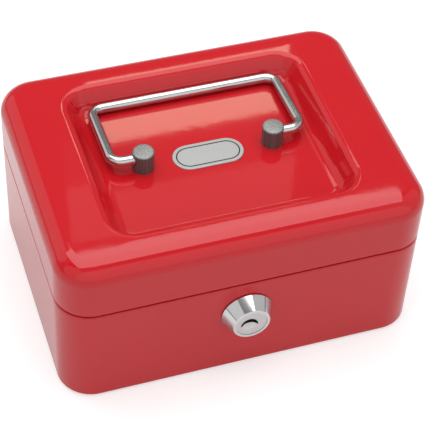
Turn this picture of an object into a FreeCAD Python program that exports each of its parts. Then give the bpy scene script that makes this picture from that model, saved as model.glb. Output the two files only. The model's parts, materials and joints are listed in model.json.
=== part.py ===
import FreeCAD, Part
import math
import os
import re

import Sketcher
from FreeCAD import Placement, Rotation, Vector

# A small steel cash box: a deep-drawn base and lid, joined at the back by two riveted hinges and held at
# the front by a cam lock, with a wire carry handle folded into a recess of the lid and a coin tray inside.
# Millimetres. The origin is the middle of the underside, +X is to the right, -Y is the front, +Z is up.

DIMENSIONS = {
    # Casing
    "box_length": 152.0,
    "box_depth": 115.0,
    "box_height": 75.0,
    "lid_height": 25.4,
    "seam_gap": 0.4,
    "sheet_gauge": 0.8,
    "corner_radius": 14.5,
    "lid_edge_radius": 8.5,
    "lid_overhang": 0.4,
    "base_edge_radius": 1.6,
    "rim_rise": 5.4,
    "rim_clearance": 0.45,
    # Recess in the lid
    "recess_length": 103.0,
    "recess_width": 85.0,
    "recess_corner": 11.0,
    "recess_depth": 9.0,
    "recess_draft": 32.0,
    "recess_lip_radius": 2.6,
    "recess_floor_radius": 5.0,
    # Carry handle and its posts
    "post_inset": 12.8,
    "post_radius": 4.5,
    "post_chamfer": 0.5,
    "post_bore_depth": 4.3,
    "wire_radius": 1.9,
    "wire_clearance": 0.05,
    "wire_end_play": 0.3,
    "handle_span": 80.6,
    "handle_reach": 35.3,
    "handle_bend": 5.0,
    "handle_pivot_rise": 5.4,
    "grip_gap": 0.7,
    "screw_radius": 1.5,
    "screw_depth": 3.0,
    "screw_head_radius": 2.8,
    "screw_head_height": 2.0,
    "screw_clearance": 0.1,
    "screw_slot": 0.7,
    "washer_radius": 4.0,
    "washer_gauge": 0.6,
    # Badge plate
    "badge_length": 30.0,
    "badge_width": 14.0,
    "badge_gauge": 0.4,
    "badge_end_flat": 0.02,
    # Hinges
    "hinge_inset": 30.0,
    "hinge_length": 26.0,
    "hinge_gauge": 1.0,
    "hinge_leaf_height": 11.0,
    "hinge_relief": 0.6,
    "knuckle_radius": 2.5,
    "knuckle_clearance": 0.3,
    "knuckle_middle": 10.0,
    "hinge_pin_radius": 1.25,
    "hinge_pin_clearance": 0.05,
    "hinge_pin_seat": 0.02,
    "hinge_pin_reach": 0.6,
    "rivet_radius": 1.5,
    "rivet_head_radius": 2.6,
    "rivet_head_height": 1.0,
    "rivet_spacing": 16.0,
    "rivet_offset": 6.6,
    "rivet_clearance": 0.02,
    # Lock
    "lock_offset": -1.0,
    "lock_drop": 16.9,
    "lock_base_radius": 10.65,
    "lock_face_radius": 7.85,
    "lock_head_length": 7.1,
    "lock_face_rounding": 0.5,
    "lock_land": 0.6,
    "barrel_radius": 7.0,
    "barrel_length": 9.6,
    "barrel_clearance": 0.1,
    "nut_radius": 10.4,
    "nut_height": 3.4,
    "lock_washer_radius": 9.6,
    "lock_washer_gauge": 0.7,
    "plug_radius": 6.4,
    "plug_head_length": 3.0,
    "plug_body_radius": 5.0,
    "plug_clearance": 0.05,
    "plug_recess": 0.25,
    "plug_shoulder_gap": 0.1,
    "keyway_radius": 3.6,
    "keyway_drop": 0.6,
    "keyway_core_radius": 4.2,
    "keyway_core_drop": 2.2,
    "keyway_offset": -0.9,
    "keyway_length": 10.0,
    "keyway_dish_radius": 3.3,
    "keyway_dish_depth": 0.6,
    "wafer_gauge": 0.9,
    "wafer_pitch": 2.2,
    "wafer_width": 4.0,
    "wafer_height": 8.4,
    "wafer_window_width": 2.4,
    "wafer_window_height": 3.4,
    "wafer_play": 0.05,
    "wafer_start": 2.4,
    "cam_gauge": 1.6,
    "cam_width": 7.0,
    "cam_reach": 15.0,
    "cam_eye_radius": 5.5,
    "cam_gap": 0.3,
    "cam_tang": 5.6,
    "cam_play": 0.03,
    "cam_screw_length": 5.0,
    # Keeper on the lid
    "keeper_gauge": 1.2,
    "keeper_side_gap": 8.5,
    "keeper_width": 10.0,
    "keeper_flange": 8.0,
    "keeper_rim_gap": 2.4,
    "keeper_cam_gap": 0.4,
    "keeper_bolt_gap": 1.8,
    "keeper_foot_reach": 4.4,
    # Coin tray and its ledges
    "ledge_gauge": 1.0,
    "ledge_width": 6.0,
    "ledge_skirt": 8.0,
    "ledge_length": 68.0,
    "ledge_drop": 19.6,
    "tray_seat_gap": 0.2,
    "tray_rise": 18.0,
    "tray_lock_gap": 7.45,
    "tray_side_clearance": 2.7,
    "tray_back_clearance": 2.85,
    "tray_corner": 9.0,
    "tray_wall": 1.6,
    "tray_floor": 1.4,
    "scoop_corner": 5.5,
    "scoop_hollow": 7.0,
}

SCOOPS = 5
WAFERS = 4

# What follows from the driving dimensions, in the order of the build.
FORMULAS = {
    "base_length": "box_length - 2 * lid_overhang",
    "base_depth": "box_depth - 2 * lid_overhang",
    "base_corner": "corner_radius - lid_overhang",
    "seam_height": "box_height - lid_height",
    "base_top": "seam_height - seam_gap / 2",
    "base_front": "-base_depth / 2",
    "base_back": "base_depth / 2",
    "lid_bottom": "seam_height + seam_gap / 2",
    "lid_front_inside": "sheet_gauge - box_depth / 2",
    "lid_back": "box_depth / 2",
    "rim_inset": "sheet_gauge + rim_clearance",
    "rim_top": "lid_bottom + rim_rise",
    "recess_floor": "box_height - recess_depth",
    "recess_under": "recess_floor - sheet_gauge",
    "recess_wall_shift": "tan((90 - recess_draft) / 2)",
    "post_spacing": "handle_span - 2 * post_inset",
    "pivot_height": "recess_floor + handle_pivot_rise",
    "handle_droop": "asin((handle_pivot_rise - wire_radius - grip_gap) / handle_reach)",
    "wire_start": "post_spacing / 2 + post_radius - post_bore_depth + wire_end_play",
    "hinge_spacing": "box_length - 2 * hinge_inset",
    "hinge_axis_y": "lid_back + knuckle_clearance + knuckle_radius",
    "hinge_axis_z": "seam_height",
    "leaf_offset": "knuckle_radius + hinge_relief",
    "knuckle_side": "(hinge_length - knuckle_middle) / 2 - knuckle_clearance",
    "rivet_rise": "leaf_offset + rivet_offset",
    "lock_height": "seam_height - lock_drop",
    "lock_face": "base_front - lock_head_length",
    "barrel_end": "base_front + barrel_length",
    "plug_face": "lock_face + plug_recess",
    "plug_body_start": "plug_face + plug_head_length",
    "cam_front": "barrel_end + cam_gap",
    "cam_back": "cam_front + cam_gauge",
    "keyway_x": "lock_offset + keyway_offset",
    "keeper_left": "lock_offset + keeper_side_gap",
    "keeper_web": "rim_top + keeper_rim_gap",
    "keeper_stem": "cam_back + keeper_cam_gap",
    "keeper_foot": "lock_height - cam_width / 2 - keeper_bolt_gap - keeper_gauge",
    "ledge_height": "seam_height - ledge_drop",
    "tray_bottom": "ledge_height + tray_seat_gap",
    "tray_length": "box_length - 2 * (rim_inset + sheet_gauge + tray_side_clearance)",
    "tray_back": "box_depth / 2 - rim_inset - sheet_gauge - tray_back_clearance",
    "tray_front": "cam_back + tray_lock_gap",
    "tray_depth": "tray_back - tray_front",
    "tray_middle": "(tray_back + tray_front) / 2",
    "scoop_pitch": "(tray_length - tray_wall) / scoop_count",
}

AXIS_TURNS = {
    "x": Rotation(Vector(0, 1, 0), 90),
    "y": Rotation(Vector(1, 0, 0), -90),
    "z": Rotation(),
}
LEVEL_TOLERANCE = 1e-4
CUT_MARGIN = 1.0
SIDES = {"left": -1, "right": 1}

doc = FreeCAD.newDocument("CashBox")
sheet = doc.addObject("Spreadsheet::Sheet", "Dimensions")
parts = []


def fill_sheet():
    """Writes each driving dimension into its own named cell."""
    for row, (name, value) in enumerate(DIMENSIONS.items(), start=1):
        sheet.set(f"A{row}", name)
        sheet.set(f"B{row}", str(value))
        sheet.setAlias(f"B{row}", name)
    doc.recompute()


def formula(text):
    """Turns a formula of plain names into one that reads the sheet."""

    def swap(match):
        word = match.group(0)
        if word == "scoop_count":
            return str(SCOOPS)
        if word in FORMULAS:
            return "(" + formula(FORMULAS[word]) + ")"
        if word in DIMENSIONS:
            return "Dimensions." + word
        return word

    return re.sub(r"[a-z][a-z_]+", swap, str(text))


def number(text):
    """The present value of a formula."""
    value = sheet.evalExpression(formula(text))
    return float(getattr(value, "Value", value))


def drive(thing, sizes):
    """Binds properties of an object to formulas."""
    for name, text in sizes.items():
        thing.setExpression(name, formula(text))


def place(thing, spot):
    """Binds an object's place to three formulas."""
    drive(thing, dict(zip(("Placement.Base.x", "Placement.Base.y", "Placement.Base.z"), spot)))
    return thing


def block(name, low, size):
    """A box from its low corner."""
    solid = doc.addObject("Part::Box", name)
    drive(solid, dict(zip(("Length", "Width", "Height"), size)))
    return place(solid, low)


def rod(name, radius, length, start, axis="z"):
    """A cylinder from its start, along +X, +Y or +Z."""
    solid = doc.addObject("Part::Cylinder", name)
    solid.Placement = Placement(Vector(), AXIS_TURNS[axis])
    drive(solid, {"Radius": radius, "Height": length})
    return place(solid, start)


def taper(name, radius_start, radius_end, length, start, axis="z"):
    """A cone from its start, along +X, +Y or +Z."""
    solid = doc.addObject("Part::Cone", name)
    solid.Placement = Placement(Vector(), AXIS_TURNS[axis])
    drive(solid, {"Radius1": radius_start, "Radius2": radius_end, "Height": length})
    return place(solid, start)


def fuse(name, *solids):
    """Several solids joined into one."""
    joined = doc.addObject("Part::MultiFuse", name)
    joined.Shapes = list(solids)
    joined.Refine = True
    return joined


def cut(name, base, *tools):
    """A solid with others cut out of it."""
    result = doc.addObject("Part::Cut", name)
    result.Base = base
    result.Tool = tools[0] if len(tools) == 1 else fuse(name + "_tools", *tools)
    return result


def group(name, solids):
    """Separate solids of one kind, kept together."""
    gathered = doc.addObject("Part::Compound", name)
    gathered.Links = list(solids)
    return gathered


def piece(name, solid):
    """Names a finished sub-part, which is written to a file of that name."""
    solid.Label = name
    parts.append(solid)
    return solid


def origin_plane(body, role):
    return next(plane for plane in body.Origin.OriginFeatures if plane.Role == role)


def flat_sketch(body, name, role, level):
    """An empty sketch on an origin plane of its body, lifted off it by a formula."""
    sketch = body.newObject("Sketcher::SketchObject", name)
    sketch.AttachmentSupport = [(origin_plane(body, role), "")]
    sketch.MapMode = "FlatFace"
    drive(sketch, {"AttachmentOffset.Base.z": level})
    return sketch


def name_constraint(sketch, name, constraint, text):
    """Adds a dimension to a sketch and binds it to a formula."""
    index = sketch.addConstraint(constraint)
    sketch.renameConstraint(index, name)
    drive(sketch, {f"Constraints.{name}": text})


def rounded_rectangle(body, name, level, length, width, radius):
    """A sketch of a rectangle about the body's Z axis, with round corners."""
    sketch = flat_sketch(body, name, "XY_Plane", level)
    half_x, half_y, round_off = number(length) / 2, number(width) / 2, number(radius)
    inner_x, inner_y = half_x - round_off, half_y - round_off
    sides = [
        Part.LineSegment(Vector(-inner_x, -half_y), Vector(inner_x, -half_y)),
        Part.LineSegment(Vector(half_x, -inner_y), Vector(half_x, inner_y)),
        Part.LineSegment(Vector(inner_x, half_y), Vector(-inner_x, half_y)),
        Part.LineSegment(Vector(-half_x, inner_y), Vector(-half_x, -inner_y)),
    ]
    centres = [(inner_x, -inner_y), (inner_x, inner_y), (-inner_x, inner_y), (-inner_x, -inner_y)]
    quarter = math.pi / 2
    corners = [
        Part.ArcOfCircle(
            Part.Circle(Vector(x, y), Vector(0, 0, 1), round_off), (turn - 1) * quarter, turn * quarter
        )
        for turn, (x, y) in enumerate(centres)
    ]
    sketch.addGeometry(sides + corners, False)
    rules = []
    for side in range(4):
        rules.append(Sketcher.Constraint("Tangent", side, 2, 4 + side, 1))
        rules.append(Sketcher.Constraint("Tangent", 4 + side, 2, (side + 1) % 4, 1))
        rules.append(Sketcher.Constraint("Vertical" if side % 2 else "Horizontal", side))
    for corner in range(4, 7):
        rules.append(Sketcher.Constraint("Equal", corner, corner + 1))
    rules.append(Sketcher.Constraint("Symmetric", 4, 3, 6, 3, -1, 1))
    sketch.addConstraint(rules)
    name_constraint(sketch, "radius", Sketcher.Constraint("Radius", 4, round_off), radius)
    name_constraint(sketch, "length", Sketcher.Constraint("DistanceX", 3, 1, 1, 1, 2 * half_x), length)
    name_constraint(sketch, "width", Sketcher.Constraint("DistanceY", 0, 1, 2, 1, 2 * half_y), width)
    return sketch


def pad(body, sketch, length):
    feature = body.newObject("PartDesign::Pad", sketch.Name + "_pad")
    feature.Profile = sketch
    drive(feature, {"Length": length})
    doc.recompute()
    return feature


def pocket(body, sketch, depth, draft="0"):
    """Cuts downwards from a sketch; a draft narrows the cut as it goes down."""
    before = body.Shape.Volume
    feature = body.newObject("PartDesign::Pocket", sketch.Name + "_pocket")
    feature.Profile = sketch
    drive(feature, {"Length": depth, "TaperAngle": f"-1 * {draft}"})
    doc.recompute()
    if not feature.Shape.Volume < before:
        raise RuntimeError(f"{feature.Name} cuts nothing")
    return feature


def edges_on_level(shape, level, half_x, half_y):
    """Names of the edges at one height, no further out than a rectangle about the Z axis."""
    names = []
    for index, edge in enumerate(shape.Edges, start=1):
        bounds = edge.BoundBox
        flat = abs(bounds.ZMin - level) < LEVEL_TOLERANCE and abs(bounds.ZMax - level) < LEVEL_TOLERANCE
        reach_x = max(-bounds.XMin, bounds.XMax)
        reach_y = max(-bounds.YMin, bounds.YMax)
        if flat and reach_x < half_x and reach_y < half_y:
            names.append(f"Edge{index}")
    return names


def round_edges(body, name, level, length, width, radius):
    """Rounds the edges at one height that lie within a rectangle."""
    base = body.Tip
    reach = (number(length) / 2 + CUT_MARGIN / 10, number(width) / 2 + CUT_MARGIN / 10)
    feature = body.newObject("PartDesign::Fillet", name)
    feature.Base = (base, edges_on_level(base.Shape, number(level), *reach))
    drive(feature, {"Radius": radius})
    doc.recompute()
    return feature


def base_form():
    """The base pan with its stepped rim, before any hole."""
    body = doc.addObject("PartDesign::Body", "base_form")
    wall = rounded_rectangle(body, "base_wall", "0", "base_length", "base_depth", "base_corner")
    pad(body, wall, "base_top")
    round_edges(body, "base_edge", "0", "base_length", "base_depth", "base_edge_radius")
    rim = rounded_rectangle(
        body,
        "base_rim",
        "base_top - sheet_gauge",
        "box_length - 2 * rim_inset",
        "box_depth - 2 * rim_inset",
        "corner_radius - rim_inset",
    )
    pad(body, rim, "rim_top - base_top + sheet_gauge")
    room = rounded_rectangle(
        body,
        "base_room",
        "base_top - sheet_gauge",
        "base_length - 2 * sheet_gauge",
        "base_depth - 2 * sheet_gauge",
        "base_corner - sheet_gauge",
    )
    pocket(body, room, "base_top - 2 * sheet_gauge")
    mouth = rounded_rectangle(
        body,
        "base_mouth",
        "rim_top",
        "box_length - 2 * rim_inset - 2 * sheet_gauge",
        "box_depth - 2 * rim_inset - 2 * sheet_gauge",
        "corner_radius - rim_inset - sheet_gauge",
    )
    pocket(body, mouth, "rim_top - base_top + sheet_gauge")
    round_edges(
        body, "base_inner_edge", "sheet_gauge", "base_length", "base_depth", "base_edge_radius - sheet_gauge"
    )
    return body


def lid_form(name, inset, foot):
    """The lid's outer form, or with an inset the form of the space under its sheet."""
    body = doc.addObject("PartDesign::Body", name)
    length, width = f"box_length - 2 * ({inset})", f"box_depth - 2 * ({inset})"
    top = f"box_height - ({inset})"
    wall = rounded_rectangle(body, name + "_wall", foot, length, width, f"corner_radius - ({inset})")
    pad(body, wall, f"{top} - ({foot})")
    round_edges(body, name + "_edge", top, length, width, f"lid_edge_radius - ({inset})")
    growth = f"({inset}) * recess_wall_shift"
    hollow_length, hollow_width = f"recess_length + 2 * {growth}", f"recess_width + 2 * {growth}"
    hollow = rounded_rectangle(
        body, name + "_hollow", top, hollow_length, hollow_width, f"recess_corner + {growth}"
    )
    pocket(body, hollow, "recess_depth", "recess_draft")
    round_edges(body, name + "_lip", top, hollow_length, hollow_width, f"recess_lip_radius - ({inset})")
    floor = f"{top} - recess_depth"
    round_edges(body, name + "_floor", floor, hollow_length, hollow_width, f"recess_floor_radius + ({inset})")
    return body


def rivet_spots(rise):
    """Places of the hinge rivets across the back, at one height."""
    for side, sign in SIDES.items():
        for end, shift in SIDES.items():
            yield f"{side}_{end}", f"{sign} * hinge_spacing / 2 + {shift} * rivet_spacing / 2", rise


def rivet_holes(name, rise, inside):
    """Cutters for the rivets of one row, from inside the wall out through the leaf."""
    radius, length = "rivet_radius + rivet_clearance", f"hinge_axis_y - ({inside})"
    return [
        rod(f"{name}_{key}", radius, length, (x, inside, z), "y") for key, x, z in rivet_spots(rise)
    ]


BASE_RIVETS = "hinge_axis_z - rivet_rise"
LID_RIVETS = "hinge_axis_z + rivet_rise"
BASE_INSIDE = "base_back - sheet_gauge"
LID_INSIDE = "lid_back - sheet_gauge"


def make_base_shell():
    lock_hole = rod(
        "lock_hole",
        "barrel_radius + barrel_clearance",
        f"sheet_gauge + 2 * {CUT_MARGIN}",
        ("lock_offset", f"base_front - {CUT_MARGIN}", "lock_height"),
        "y",
    )
    holes = rivet_holes("base_rivet_hole", BASE_RIVETS, f"{BASE_INSIDE} - {CUT_MARGIN}")
    piece("base_shell", cut("base_shell", base_form(), lock_hole, *holes))


def make_lid_shell():
    outer = lid_form("lid_outer", "0", "lid_bottom")
    inner = lid_form("lid_inner", "sheet_gauge", f"lid_bottom - {CUT_MARGIN}")
    shell = cut("lid_pressing", outer, inner)
    holes = rivet_holes("lid_rivet_hole", LID_RIVETS, f"{LID_INSIDE} - {CUT_MARGIN}")
    for side, sign in SIDES.items():
        start = (f"{sign} * post_spacing / 2", "0", f"recess_under - {CUT_MARGIN}")
        length = f"sheet_gauge + 2 * {CUT_MARGIN}"
        holes.append(rod(f"post_hole_{side}", "screw_radius + screw_clearance", length, start))
    piece("lid_shell", cut("lid_shell", shell, *holes))


def make_hinge_leaf(owner, side, sign):
    """One hinge leaf: the base has the two outer knuckles, the lid has the middle one."""
    name = f"hinge_{owner}_leaf_{side}"
    on_lid = owner == "lid"
    left = f"{sign} * hinge_spacing / 2 - hinge_length / 2"
    inside = "lid_back" if on_lid else "base_back"
    thickness = "hinge_gauge" if on_lid else "hinge_gauge + lid_overhang"
    low = "hinge_axis_z + leaf_offset" if on_lid else "hinge_axis_z - leaf_offset - hinge_leaf_height"
    solids = [block(name + "_plate", (left, inside, low), ("hinge_length", thickness, "hinge_leaf_height"))]
    if on_lid:
        knuckles = {"middle": ("(hinge_length - knuckle_middle) / 2", "knuckle_middle")}
        strap_low = "hinge_axis_z"
    else:
        knuckles = {"first": ("0", "knuckle_side"), "last": ("hinge_length - knuckle_side", "knuckle_side")}
        strap_low = "hinge_axis_z - leaf_offset"
    bores = []
    gap = "hinge_pin_clearance" if on_lid else "hinge_pin_seat"
    for key, (shift, width) in knuckles.items():
        start = f"{left} + {shift}"
        axis_start = (start, "hinge_axis_y", "hinge_axis_z")
        solids.append(block(f"{name}_strap_{key}", (start, inside, strap_low), (width, thickness, "leaf_offset")))
        solids.append(rod(f"{name}_knuckle_{key}", "knuckle_radius", width, axis_start, "x"))
        bores.append(rod(f"{name}_bore_{key}", f"hinge_pin_radius + {gap}", width, axis_start, "x"))
    rivets = LID_RIVETS if on_lid else BASE_RIVETS
    holes = rivet_holes(name + "_hole", rivets, f"{inside} - {CUT_MARGIN}")
    piece(name, cut(name, fuse(name + "_blank", *solids), *bores, *holes))


def make_hinge_pin(side, sign):
    start = f"{sign} * hinge_spacing / 2 - hinge_length / 2 - hinge_pin_reach"
    length = "hinge_length + 2 * hinge_pin_reach"
    name = f"hinge_pin_{side}"
    piece(name, rod(name, "hinge_pin_radius", length, (start, "hinge_axis_y", "hinge_axis_z"), "x"))


def make_hinge_rivets(owner):
    """The four rivets of the base's leaves, or of the lid's."""
    on_lid = owner == "lid"
    inside = LID_INSIDE if on_lid else BASE_INSIDE
    outside = "lid_back + hinge_gauge"
    name = f"hinge_{owner}_rivets"
    rivets = []
    for key, x, z in rivet_spots(LID_RIVETS if on_lid else BASE_RIVETS):
        shank = rod(f"{name}_shank_{key}", "rivet_radius", f"{outside} - ({inside})", (x, inside, z), "y")
        head = taper(
            f"{name}_head_{key}",
            "rivet_head_radius",
            "rivet_radius",
            "rivet_head_height",
            (x, outside, z),
            "y",
        )
        tail = taper(
            f"{name}_tail_{key}",
            "rivet_radius",
            "rivet_head_radius",
            "rivet_head_height",
            (x, f"{inside} - rivet_head_height", z),
            "y",
        )
        rivets.append(fuse(f"{name}_{key}", tail, shank, head))
    piece(name, group(name, rivets))


def make_handle_post(side, sign):
    name = f"handle_post_{side}"
    x = f"{sign} * post_spacing / 2"
    shaft = rod(name + "_shaft", "post_radius", "recess_depth - post_chamfer", (x, "0", "recess_floor"))
    crown = taper(
        name + "_crown",
        "post_radius",
        "post_radius - post_chamfer",
        "post_chamfer",
        (x, "0", "box_height - post_chamfer"),
    )
    bore_low = f"{x} + {sign} * (post_radius - post_bore_depth)"
    bore_start = bore_low if sign > 0 else f"{bore_low} - post_bore_depth - {CUT_MARGIN}"
    bore = rod(
        name + "_bore",
        "wire_radius + wire_clearance",
        f"post_bore_depth + {CUT_MARGIN}",
        (bore_start, "0", "pivot_height"),
        "x",
    )
    thread = rod(name + "_thread", "screw_radius", "screw_depth", (x, "0", "recess_floor"))
    piece(name, cut(name, fuse(name + "_blank", shaft, crown), bore, thread))


def make_handle_fasteners():
    """A washer and a slotted screw under the recess floor for each post."""
    washers, screws = [], []
    for side, sign in SIDES.items():
        x = f"{sign} * post_spacing / 2"
        washer_low = (x, "0", "recess_under - washer_gauge")
        disc = rod(f"washer_disc_{side}", "washer_radius", "washer_gauge", washer_low)
        eye = rod(f"washer_eye_{side}", "screw_radius + screw_clearance", "washer_gauge", washer_low)
        washers.append(cut(f"handle_washer_{side}", disc, eye))
        head_low = "recess_under - washer_gauge - screw_head_height"
        head = rod(f"screw_head_{side}", "screw_head_radius", "screw_head_height", (x, "0", head_low))
        shank_length = "washer_gauge + sheet_gauge + screw_depth"
        shank_low = (x, "0", "recess_under - washer_gauge")
        shank = rod(f"screw_shank_{side}", "screw_radius", shank_length, shank_low)
        slot = block(
            f"screw_slot_{side}",
            (f"{x} - screw_head_radius", "-screw_slot / 2", head_low),
            ("2 * screw_head_radius", "screw_slot", "screw_head_height / 2"),
        )
        screws.append(cut(f"handle_screw_{side}", fuse(f"screw_blank_{side}", head, shank), slot))
    piece("handle_washers", group("handle_washers", washers))
    piece("handle_screws", group("handle_screws", screws))


def handle_route(body):
    """The wire's centre line: in from one post, round the grip and back to the other post."""
    route = flat_sketch(body, "handle_route", "XY_Plane", "0")
    arm, start = number("handle_span / 2"), number("wire_start")
    reach, bend = number("handle_reach"), number("handle_bend")
    quarter = math.pi / 2
    lines = [
        ((-start, 0), (-arm + bend, 0)),
        ((-arm, bend), (-arm, reach - bend)),
        ((-arm + bend, reach), (arm - bend, reach)),
        ((arm, reach - bend), (arm, bend)),
        ((arm - bend, 0), (start, 0)),
    ]
    bends = [
        ((-arm + bend, bend), 2),
        ((-arm + bend, reach - bend), 1),
        ((arm - bend, reach - bend), 0),
        ((arm - bend, bend), 3),
    ]
    route.addGeometry([Part.LineSegment(Vector(*low), Vector(*high)) for low, high in lines], False)
    for (x, y), turn in bends:
        circle = Part.Circle(Vector(x, y), Vector(0, 0, 1), bend)
        route.addGeometry(Part.ArcOfCircle(circle, turn * quarter, (turn + 1) * quarter), False)
    rules = []
    for index in range(4):
        rules.append(Sketcher.Constraint("Tangent", index, 2, 5 + index, 2))
        rules.append(Sketcher.Constraint("Tangent", 5 + index, 1, index + 1, 1))
    rules += [Sketcher.Constraint("Equal", 5 + index, 6 + index) for index in range(3)]
    rules += [Sketcher.Constraint("Horizontal", index) for index in (0, 2, 4)]
    rules += [Sketcher.Constraint("Vertical", index) for index in (1, 3)]
    rules.append(Sketcher.Constraint("Symmetric", 0, 1, 4, 2, -1, 1))
    rules.append(Sketcher.Constraint("Symmetric", 1, 1, 3, 2, -2))
    route.addConstraint(rules)
    name_constraint(route, "bend", Sketcher.Constraint("Radius", 5, bend), "handle_bend")
    name_constraint(route, "span", Sketcher.Constraint("DistanceX", 1, 1, 3, 2, 2 * arm), "handle_span")
    name_constraint(route, "reach", Sketcher.Constraint("DistanceY", 0, 1, 2, 1, reach), "handle_reach")
    name_constraint(route, "gap", Sketcher.Constraint("DistanceX", 0, 1, 4, 2, 2 * start), "2 * wire_start")
    return route


def make_carry_handle():
    """The bent wire, lying back so that its grip is just over the recess floor."""
    body = doc.addObject("PartDesign::Body", "carry_handle")
    route = handle_route(body)
    section = flat_sketch(body, "handle_section", "YZ_Plane", "-wire_start")
    section.addGeometry(Part.Circle(Vector(), Vector(0, 0, 1), number("wire_radius")), False)
    section.addConstraint(Sketcher.Constraint("Coincident", 0, 3, -1, 1))
    name_constraint(section, "wire", Sketcher.Constraint("Radius", 0, number("wire_radius")), "wire_radius")
    doc.recompute()
    wire = body.newObject("PartDesign::AdditivePipe", "handle_wire")
    wire.Profile = section
    wire.Spine = (route, [f"Edge{index + 1}" for index in range(9)])
    doc.recompute()
    body.Placement = Placement(Vector(), Rotation(Vector(1, 0, 0), -1))
    drive(body, {"Placement.Rotation.Angle": "handle_droop"})
    place(body, ("0", "0", "pivot_height"))
    body.setExpression("Placement.Rotation.Axis.x", "-1")
    piece("carry_handle", body)


def make_badge_plate():
    """A blank plate with round ends."""
    body = doc.addObject("PartDesign::Body", "badge_plate")
    outline = rounded_rectangle(
        body, "badge_outline", "recess_floor", "badge_length", "badge_width", "(badge_width - badge_end_flat) / 2"
    )
    pad(body, outline, "badge_gauge")
    piece("badge_plate", body)


def lock_rod(name, radius, start, end, x="lock_offset", z="lock_height"):
    """A cylinder along the lock's axis, between two depths."""
    return rod(name, radius, f"({end}) - ({start})", (x, start, z), "y")


def make_lock_body():
    """The conical head outside the front wall and the barrel through it, in one piece."""
    spot = "lock_offset", "lock_height"
    rim = taper(
        "lock_rim",
        "lock_face_radius - lock_face_rounding",
        "lock_face_radius",
        "lock_face_rounding",
        (spot[0], "lock_face", spot[1]),
        "y",
    )
    cone = taper(
        "lock_cone",
        "lock_face_radius",
        "lock_base_radius",
        "lock_head_length - lock_land - lock_face_rounding",
        (spot[0], "lock_face + lock_face_rounding", spot[1]),
        "y",
    )
    land = lock_rod("lock_land", "lock_base_radius", "base_front - lock_land", "base_front")
    barrel = lock_rod("lock_barrel", "barrel_radius", "base_front", "barrel_end")
    head_bore = lock_rod(
        "lock_head_bore",
        "plug_radius + plug_clearance",
        f"lock_face - {CUT_MARGIN}",
        "plug_body_start + plug_shoulder_gap",
    )
    bore = lock_rod("lock_bore", "plug_body_radius + plug_clearance", "lock_face", f"barrel_end + {CUT_MARGIN}")
    piece("lock_body", cut("lock_body", fuse("lock_blank", rim, cone, land, barrel), head_bore, bore))


def make_lock_nut():
    wall = "base_front + sheet_gauge"
    washer_end = f"{wall} + lock_washer_gauge"
    disc = lock_rod("lock_washer_disc", "lock_washer_radius", wall, washer_end)
    eye = lock_rod("lock_washer_eye", "barrel_radius + barrel_clearance", wall, washer_end)
    piece("lock_washer", cut("lock_washer", disc, eye))
    hexagon = doc.addObject("Part::Prism", "lock_nut_hexagon")
    hexagon.Polygon = 6
    hexagon.Placement = Placement(Vector(), AXIS_TURNS["y"])
    drive(hexagon, {"Circumradius": "nut_radius", "Height": "nut_height"})
    place(hexagon, ("lock_offset", washer_end, "lock_height"))
    thread = lock_rod("lock_nut_thread", "barrel_radius", washer_end, f"{washer_end} + nut_height")
    piece("lock_nut", cut("lock_nut", hexagon, thread))


def keyway():
    """Cutters for the crescent keyway and the shallow dish around it."""
    low = "lock_height - keyway_drop"
    core_low = "lock_height - keyway_drop - keyway_core_drop"
    start = f"plug_face - {CUT_MARGIN}"
    end = "plug_face + keyway_length"
    arch = lock_rod("keyway_arch", "keyway_radius", start, end, "keyway_x", low)
    core = lock_rod("keyway_core", "keyway_core_radius", start, end, "keyway_x", core_low)
    dish = taper(
        "keyway_dish",
        "keyway_dish_radius",
        "keyway_dish_radius / 2",
        "keyway_dish_depth",
        ("keyway_x", "plug_face", "lock_height"),
        "y",
    )
    return cut("keyway_slot", arch, core), dish


def wafer_start(index):
    return f"plug_body_start + wafer_start + {index} * wafer_pitch"


def wafer_block(name, index, width, height, play):
    """A block about the lock's axis at one wafer's place."""
    return block(
        f"{name}_{index}",
        (f"lock_offset - {width} / 2 - {play}", f"{wafer_start(index)} - {play}", f"lock_height - {height} / 2"),
        (f"{width} + 2 * {play}", f"wafer_gauge + 2 * {play}", height),
    )


def make_lock_plug():
    """The plug, with its keyway, its wafer slots and a square tang for the cam."""
    head = lock_rod("plug_head", "plug_radius", "plug_face", "plug_body_start")
    body = lock_rod("plug_body", "plug_body_radius", "plug_body_start", "cam_front")
    tang = block(
        "plug_tang",
        ("lock_offset - cam_tang / 2", "cam_front", "lock_height - cam_tang / 2"),
        ("cam_tang", "cam_gauge - cam_play", "cam_tang"),
    )
    slots = [
        wafer_block("wafer_slot", index, "wafer_width", "2 * plug_body_radius", "wafer_play")
        for index in range(WAFERS)
    ]
    thread = lock_rod("plug_thread", "screw_radius", "cam_back - cam_screw_length", "cam_back")
    piece("lock_plug", cut("lock_plug", fuse("plug_blank", head, body, tang), *keyway(), *slots, thread))


def make_lock_wafers():
    wafers = []
    for index in range(WAFERS):
        plate = wafer_block("wafer_plate", index, "wafer_width", "wafer_height", "0")
        window = wafer_block("wafer_window", index, "wafer_window_width", "wafer_window_height", "0")
        wafers.append(cut(f"wafer_{index}", plate, window))
    piece("lock_wafers", group("lock_wafers", wafers))


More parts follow.
